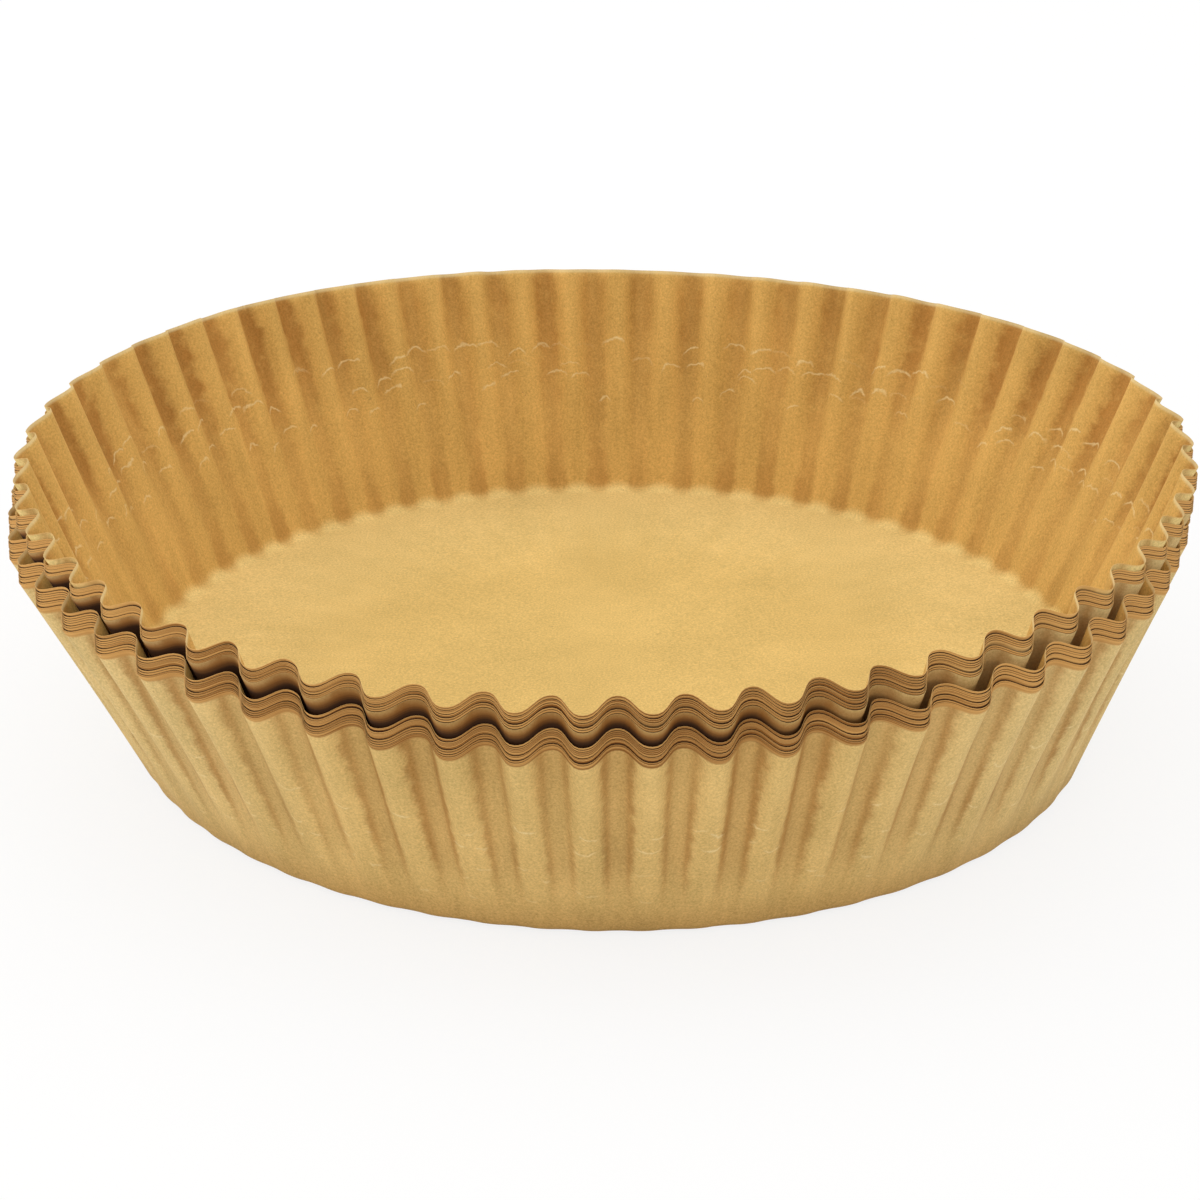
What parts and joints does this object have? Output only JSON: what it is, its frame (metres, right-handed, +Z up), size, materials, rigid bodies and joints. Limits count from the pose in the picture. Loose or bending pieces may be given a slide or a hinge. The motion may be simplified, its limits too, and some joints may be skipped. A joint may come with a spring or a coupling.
{
  "type": "stack of air fryer liners",
  "caption": "Nested stack of round fluted unbleached paper liners with flat floors and leaning pleated walls, for lining a fryer basket.",
  "frame": {"origin": "middle of the outermost liner's floor, on the surface that the stack stands on", "axes": "+Z up along the liners' axis; -Y towards the front; the upper bundle's +X side lies a little higher"},
  "size_m": [0.2, 0.2, 0.0493],
  "materials": {
    "outer_liner_paper": "matte",
    "nested_liner_paper": "matte",
    "top_liner_paper": "satin"
  },
  "bodies": {
    "root": {"lower_liner_1": "outer_liner_paper", "lower_liner_2": "nested_liner_paper", "lower_liner_3": "nested_liner_paper", "lower_liner_4": "nested_liner_paper", "lower_liner_5": "nested_liner_paper", "lower_liner_6": "nested_liner_paper", "lower_liner_7": "nested_liner_paper", "lower_liner_8": "nested_liner_paper", "lower_liner_9": "nested_liner_paper", "upper_liner_1": "nested_liner_paper", "upper_liner_2": "nested_liner_paper", "upper_liner_3": "nested_liner_paper", "upper_liner_4": "nested_liner_paper", "upper_liner_5": "nested_liner_paper", "upper_liner_6": "nested_liner_paper", "upper_liner_7": "nested_liner_paper", "upper_liner_8": "top_liner_paper"}
  },
  "joints": []
}
